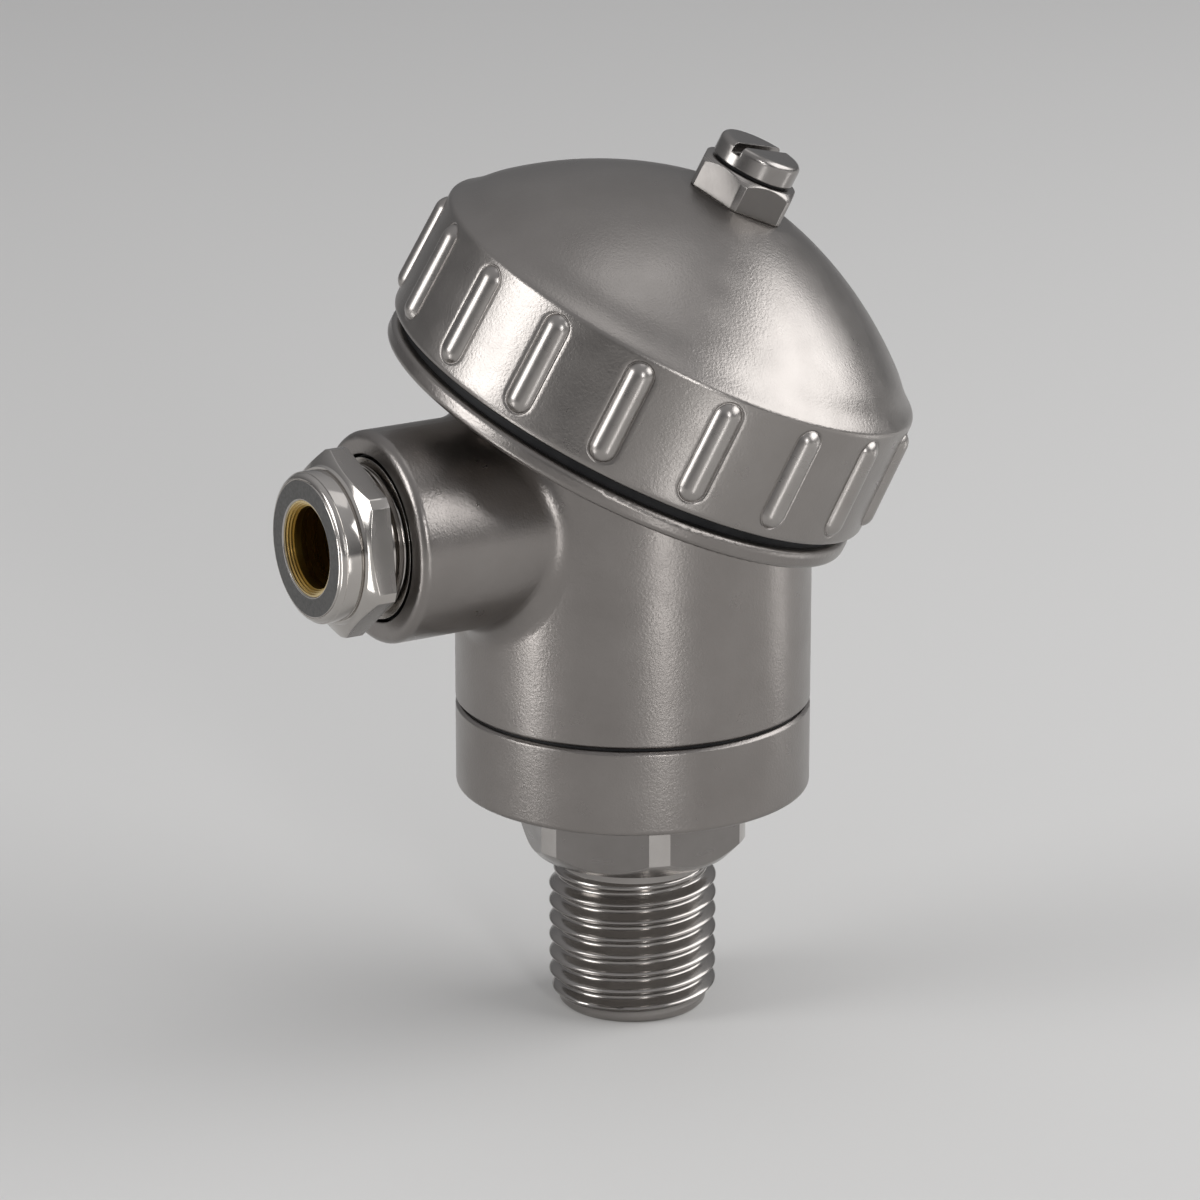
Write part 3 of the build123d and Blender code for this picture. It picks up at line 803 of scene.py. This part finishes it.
def cell_outline():
    """Start, direction and cell edge of each spoke that runs outward from the rib's core."""
    spokes = []
    core = RIB_CORE_HIGH - RIB_CORE_LOW
    tall = CELL_HIGH - CELL_LOW
    half = pi / RIB_COUNT
    for k in range(SIDE_STEPS):
        share = k / SIDE_STEPS
        spokes.append((RIB_CORE_LOW + core * share, 0.0, (half, CELL_LOW + tall * share)))
    for k in range(END_STEPS):
        share = k / END_STEPS
        spokes.append((RIB_CORE_HIGH, pi * share, (half * (1 - 2 * share), CELL_HIGH)))
    for k in range(SIDE_STEPS):
        share = k / SIDE_STEPS
        spokes.append((RIB_CORE_HIGH - core * share, pi, (-half, CELL_HIGH - tall * share)))
    for k in range(END_STEPS):
        share = k / END_STEPS
        spokes.append((RIB_CORE_LOW, pi * (1 + share), (half * (2 * share - 1), CELL_LOW)))
    return spokes


spokes = cell_outline()
print(len(spokes), "spokes run outward from each rib")

# %% One rib with its share of the wall


def add_rib_cell(mesh_maker, middle_angle, spokes):
    """One rib with its share of the wall. Faces of the rib take the second finish."""
    rings = []
    steps = [(distance, rib_height(distance)) for distance in RIB_RINGS] + list(GROOVE_RINGS)
    for distance, height in steps:
        ring = []
        for core, direction, _ in spokes:
            along = core + distance * sin(direction)
            turn = distance * cos(direction) / WALL_TOP_RADIUS
            ring.append(point_round("cap", wall_radius(along) + height, along, middle_angle + turn))
        rings.append(ring)
    last_distance = GROOVE_RINGS[-1][0]
    for k in range(1, FADE_RINGS + 1):
        share = (k / FADE_RINGS) ** FADE_SPACING
        ring = []
        for core, direction, edge in spokes:
            start_turn = last_distance * cos(direction) / WALL_TOP_RADIUS
            start_along = core + last_distance * sin(direction)
            turn = start_turn + (edge[0] - start_turn) * share
            along = start_along + (edge[1] - start_along) * share
            ring.append(point_round("cap", wall_radius(along), along, middle_angle + turn))
        rings.append(ring)
    vertex_rings = [[mesh_maker.verts.new(point) for point in ring] for ring in rings]
    count = len(spokes)
    for number, (inner, outer) in enumerate(zip(vertex_rings, vertex_rings[1:])):
        for k in range(count):
            after = (k + 1) % count
            face = mesh_maker.faces.new((inner[k], inner[after], outer[after], outer[k]))
            face.material_index = 1 if number < len(RIB_RINGS) - 1 else 0


print("a cell has", len(RIB_RINGS) + len(GROOVE_RINGS) + FADE_RINGS, "rings")

# %% The cap's wall
cap_mesh = bmesh.new()
cap_angles = []
for rib in range(RIB_COUNT):
    middle = RIB_FIRST + rib * 2 * pi / RIB_COUNT
    add_rib_cell(cap_mesh, middle, spokes)
    for k in range(END_STEPS):
        cap_angles.append(middle - pi / RIB_COUNT + 2 * pi / RIB_COUNT * k / END_STEPS)
print(RIB_COUNT, "ribs,", len(cap_angles), "points round the cap")

# %% The cap's rim and crown
RIM_RADIUS = 1.0
RIM_STEPS = 7
RIM_TURN = radians(42.0)
RIM_BLEND_STEPS = 12
CROWN_STEPS = 44
HOLLOW_RADIUS = 29.5
HOLLOW_WIDTH = 1.2
HOLLOW_DEPTH = 0.25
rim_rows = []
for k in range(RIM_STEPS + 1):
    turn = RIM_TURN * k / RIM_STEPS
    inward = RIM_RADIUS * (1 - cos(turn))
    rim_rows.append((wall_radius(CELL_HIGH) - inward, CELL_HIGH + RIM_RADIUS * sin(turn)))
rim_gap = rim_rows[-1][1] - crown_level(CROWN_RADIUS, rim_rows[-1][0])
crown_rows = []
for k in range(1, CROWN_STEPS + 1):
    radius = rim_rows[-1][0] + (SPOT_RADIUS - rim_rows[-1][0]) * k / CROWN_STEPS
    fade = max(0.0, 1 - k / RIM_BLEND_STEPS) ** 2
    hollow = HOLLOW_DEPTH * exp(-(((radius - HOLLOW_RADIUS) / HOLLOW_WIDTH) ** 2))
    crown_rows.append((radius, crown_level(CROWN_RADIUS, radius) + rim_gap * fade - hollow))
print("rim stands", round(rim_gap, 3), "mm off the crown's arc")

# %% The cap's inside and foot
INNER_STEPS = 12
inner_radius = CROWN_RADIUS - CAP_SKIN
inner_rows = []
for k in range(INNER_STEPS + 1):
    radius = NUT_HOLE_RADIUS + (CAP_BORE - NUT_HOLE_RADIUS) * k / INNER_STEPS
    inner_rows.append((radius, crown_level(inner_radius, radius)))
foot_rows = [
    (CAP_BORE, CAP_FOOT + 0.4),
    (CAP_BORE + 0.4, CAP_FOOT),
    (WALL_FOOT_RADIUS - 0.6, CAP_FOOT),
    (WALL_FOOT_RADIUS - 0.35, CAP_FOOT + 0.06),
    (WALL_FOOT_RADIUS - 0.15, CAP_FOOT + 0.2),
    (WALL_FOOT_RADIUS - 0.05, CAP_FOOT + 0.42),
    (wall_radius(CELL_LOW), CELL_LOW),
]
hole_row = (NUT_HOLE_RADIUS, crown_rows[-1][1])
crown_outline = rim_rows + crown_rows + [hole_row] + inner_rows + foot_rows
crown_rings = [ring_points(cap_mesh, "cap", row, cap_angles) for row in crown_outline]
for lower, upper in zip(crown_rings, crown_rings[1:]):
    join_rings(cap_mesh, lower, upper)
ribbed_cap = add_piece(
    "screw_cap_with_ribs", cap_mesh, "cap", [cap_steel, rib_steel], 28.0
)
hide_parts("screw_cap")

# %% [markdown]
# ## Thread on the neck
# The cap screws onto the neck with a pitch of 2 mm, and the thread shows as soon
# as the cap is off. It stands in the narrow gap between the neck and the cap, so
# it is a thin band laid on the neck, with its first and last turns faded out. Its
# crest stays just inside the cap's seal, which slides over it.

# %% Thread on the neck
NECK_ROOT = 27.55
NECK_CREST = 27.69
NECK_PITCH = 2.0
NECK_THREAD = (-0.4, 7.7)


def plain_thread(root, crest, pitch, span, crest_share, flank_share, fade_length):
    """Radius of a thread with straight flanks, faded out at both ends of its span."""

    def radius_at(along, angle):
        turns = (along - span[0]) / pitch - angle / (2 * pi)
        reach = abs(turns - round(turns)) * 2
        height = clamp((crest_share - reach) / flank_share)
        fade = clamp((along - span[0]) / fade_length) * clamp((span[1] - along) / fade_length)
        return root + (crest - root) * height * fade

    return radius_at


neck_radius = plain_thread(NECK_ROOT, NECK_CREST, NECK_PITCH, NECK_THREAD, 0.75, 0.2, 0.8)
neck_mesh = bmesh.new()
threaded_band(neck_mesh, "cap", even_angles(144), *NECK_THREAD, NECK_PITCH, neck_radius, 12)
add_piece("neck_thread", neck_mesh, "head", [neck_steel], 40.0)

# %% [markdown]
# ## The cap's nut
# A hexagon nut is riveted into the crown. Its top was turned to a cone, so each
# flat ends in an arc, and its corners have a narrow turned strip. The rows are
# hexagons with the same turned corners as on the fitting, and a fine step at the
# foot gives the dark line where the nut sits on the crown.

# %% The nut's sizes
NUT_FLATS = 11.8
NUT_ROUND = 6.59
NUT_CORNER = radians(180 + 27.3)
NUT_HEIGHT = 4.1
NUT_FACE = 5.8
NUT_BORE = 3.05
NUT_SHANK = 4.3
NUT_CONE_SLOPE = 0.95
RIVET_RADIUS = 4.9
RIVET_HEIGHT = 0.6
SPOT_LEVEL = crown_level(CROWN_RADIUS, SPOT_RADIUS)
NUT_TOP = SPOT_LEVEL + NUT_HEIGHT
rivet_top = crown_level(CROWN_RADIUS - CAP_SKIN, RIVET_RADIUS)
rivet_foot = rivet_top - RIVET_HEIGHT
nut_radius = hexagon_radius(NUT_FLATS, NUT_ROUND, NUT_CORNER)
nut_angles = even_angles(144, corner_angles(NUT_FLATS, NUT_ROUND, NUT_CORNER))
print("nut", NUT_FLATS, "mm over its flats, its top at", round(NUT_TOP, 2), "mm")

# %% The nut on the crown


def turned_loop(mesh_maker, axis_name, rows, angles):
    """A closed turned piece: the last row joins the first."""
    rings = [ring_points(mesh_maker, axis_name, row, angles) for row in rows]
    for lower, upper in zip(rings, rings[1:] + rings[:1]):
        join_rings(mesh_maker, lower, upper)


def nut_cone(radius):
    """Level of the nut's turned top at a radius."""
    return NUT_TOP - (radius - NUT_FACE) * NUT_CONE_SLOPE


nut_rows = [
    (NUT_BORE, rivet_foot + 0.1),
    (NUT_BORE + 0.1, rivet_foot),
    (RIVET_RADIUS - 0.1, rivet_foot),
    (RIVET_RADIUS, rivet_foot + 0.1),
    (RIVET_RADIUS, rivet_top),
    (NUT_SHANK, rivet_top),
    (NUT_SHANK, SPOT_LEVEL),
    lambda angle: (nut_radius(angle) - 0.22, SPOT_LEVEL),
    lambda angle: (nut_radius(angle) - 0.2, SPOT_LEVEL + 0.1),
    lambda angle: (nut_radius(angle) - 0.04, SPOT_LEVEL + 0.13),
    lambda angle: (nut_radius(angle), SPOT_LEVEL + 0.18),
    lambda angle: (nut_radius(angle), nut_cone(nut_radius(angle)) - 0.07),
    lambda angle: (nut_radius(angle) - 0.02, nut_cone(nut_radius(angle)) - 0.015),
    lambda angle: (nut_radius(angle) - 0.06, nut_cone(nut_radius(angle) - 0.06)),
    (NUT_FACE + 0.04, NUT_TOP - 0.035),
    (NUT_FACE - 0.04, NUT_TOP),
    (NUT_BORE + 0.2, NUT_TOP),
    (NUT_BORE, NUT_TOP - 0.2),
]
nut_mesh = bmesh.new()
turned_loop(nut_mesh, "cap", nut_rows, nut_angles)
bmesh.ops.recalc_face_normals(nut_mesh, faces=nut_mesh.faces)
finish_flats(nut_mesh, "cap", SPOT_LEVEL, NUT_TOP, NUT_FLATS, 1)
crown_nut = add_piece(
    "cap_nut_turned", nut_mesh, "cap", [cap_nut_steel, nut_flat_steel], 24.0
)
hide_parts("cap_nut")

# %% [markdown]
# ## The cable gland's nut
# The nut that squeezes the gland has a polished hexagon and a collar with several
# fine turned steps, and its shank is threaded where it screws into the entry. The
# fine steps make most of what the eye reads as bright metal here, because each
# one catches its own thread of light.

# %% The gland's nut
GLAND_FLATS = 20.3
GLAND_ROUND = 11.35
GLAND_CORNER = radians(8.0)
HEX_BACK = 39.2
HEX_FRONT = 42.6
COLLAR_FRONT = 45.55
COLLAR_RADIUS = 9.15
SHANK_END = 27.4
SHANK_ROOT = 8.05
SHANK_CREST = 8.7
SHANK_PITCH = 1.5
SHANK_THREAD = (28.0, 36.9)
MOUTH_RADIUS = 5.8
DULL_RADIUS = 8.2
GLAND_CONE_SLOPE = 0.4545
gland_radius = hexagon_radius(GLAND_FLATS, GLAND_ROUND, GLAND_CORNER)
gland_angles = even_angles(180, corner_angles(GLAND_FLATS, GLAND_ROUND, GLAND_CORNER))


def gland_cone(radius):
    """How far along the hexagon's front cone lies at a radius."""
    return HEX_FRONT - (radius - COLLAR_RADIUS) * GLAND_CONE_SLOPE


shank_radius = plain_thread(SHANK_ROOT, SHANK_CREST, SHANK_PITCH, SHANK_THREAD, 0.85, 0.7, 1.0)
gland_mesh = bmesh.new()
first_ring, last_ring = threaded_band(
    gland_mesh, "entry", gland_angles, *SHANK_THREAD, SHANK_PITCH, shank_radius, 10
)
print("gland nut", GLAND_FLATS, "mm over its flats")

# %% The gland's outline from its thread to its mouth
front_rows = [
    (8.9, 37.2),
    (9.1, 37.35),
    (9.1, 37.8),
    (9.0, 37.9),
    (8.1, 37.95),
    (8.0, 38.1),
    (8.0, 38.5),
    (8.1, 38.6),
    (9.45, 38.6),
    (9.6, 38.72),
    (9.6, 39.1),
    (9.65, HEX_BACK),
    lambda angle: (gland_radius(angle) - 0.12, HEX_BACK),
    lambda angle: (gland_radius(angle), HEX_BACK + 0.1),
    lambda angle: (gland_radius(angle), gland_cone(gland_radius(angle)) - 0.1),
    lambda angle: (gland_radius(angle) - 0.03, gland_cone(gland_radius(angle)) - 0.02),
    lambda angle: (gland_radius(angle) - 0.1, gland_cone(gland_radius(angle) - 0.1)),
    (9.62, gland_cone(9.62)),
    (9.55, 42.5),
    (9.5, 42.62),
    (9.42, 42.72),
    (9.1, 42.75),
    (9.02, 42.8),
    (9.02, 42.9),
    (9.1, 42.96),
    (9.15, 43.04),
    (9.15, 44.72),
    (9.12, 44.79),
    (9.0, 44.82),
    (8.97, 44.87),
    (8.93, 45.05),
    (8.8, 45.25),
    (8.6, 45.38),
    (8.42, 45.43),
    (8.38, 45.38),
    (8.3, 45.38),
    (8.27, 45.43),
    (8.24, 45.52),
    (8.18, COLLAR_FRONT),
    (6.0, COLLAR_FRONT),
    (5.9, 45.52),
    (MOUTH_RADIUS, 45.42),
    (MOUTH_RADIUS, 44.0),
    (MOUTH_RADIUS, SHANK_END + 0.15),
    (MOUTH_RADIUS + 0.15, SHANK_END),
    (SHANK_ROOT - 0.3, SHANK_END),
    (SHANK_ROOT, SHANK_END + 0.3),
]
print(len(front_rows), "rows from the thread round to its start")
rings = [ring_points(gland_mesh, "entry", row, gland_angles) for row in front_rows]
rings = [last_ring, *rings, first_ring]
for lower, upper in zip(rings, rings[1:]):
    join_rings(gland_mesh, lower, upper)

# %% The gland's finishes
entry_point, entry_direction = AXES["entry"]
for face in gland_mesh.faces:
    middle = face.calc_center_median() - entry_point
    along = middle.dot(entry_direction) / MM
    reach = middle.cross(entry_direction).length / MM
    if along > COLLAR_FRONT - 0.01 and reach < DULL_RADIUS:
        face.material_index = 1
bmesh.ops.recalc_face_normals(gland_mesh, faces=gland_mesh.faces)
finish_flats(gland_mesh, "entry", HEX_BACK, HEX_FRONT, GLAND_FLATS, 2)
polished_gland = add_piece(
    "gland_nut_turned", gland_mesh, "gland", [nickel, dull_front, flat_nickel], 24.0
)
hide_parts("gland_nut")

# %% [markdown]
# ## Finishes on the solids
# Each solid gets its finish in the place of the plain one that it came with. The
# small screws and plates of the terminal block share one bright steel.

# %% Finishes on the solids
FINISHES = {
    body_steel: ["head_body", "base_ring"],
    cap_screw_steel: ["cap_screw"],
    ring_nickel: ["gland_ring", "gland_slip_washer"],
    brass: ["gland_bush"],
    bar_brass: ["terminal_bar_plus", "terminal_bar_minus"],
    small_screw_steel: ["block_washers", "block_screws"]
    + ["clamp_plate_%d" % number for number in range(1, 5)]
    + ["clamp_screw_%d" % number for number in range(1, 5)],
    rubber: ["cap_seal", "base_seal", "gland_seal", "gland_grommet", "cap_screw_washer"],
    ceramic: ["terminal_block"],
}
for finish, names in FINISHES.items():
    for name in names:
        solid = nodes[name]
        solid.data.materials.clear()
        solid.data.materials.append(finish)
print("finishes on", sum(len(names) for names in FINISHES.values()), "of", len(nodes), "solids")

# %% [markdown]
# ## What the low strips light
# The barrel and the ring are upright, so from above they mirror the floor close
# by, which is even and makes them look flat. Photographers stand narrow strips
# there, which give the steel its upright bands. Light linking keeps these strips
# off the floor, so that the floor stays plain.

# %% What the low strips light
whole_head = bpy.data.collections.new("whole_head")
for thing in bpy.context.scene.objects:
    if thing.type == "MESH" and thing != floor:
        whole_head.objects.link(thing)
for strip in low_strips:
    strip.light_linking.receiver_collection = whole_head

# %% [markdown]
# ## Picture settings
# Colours are shown as they are written.

# %% The end
bpy.context.scene.view_settings.view_transform = "Standard"
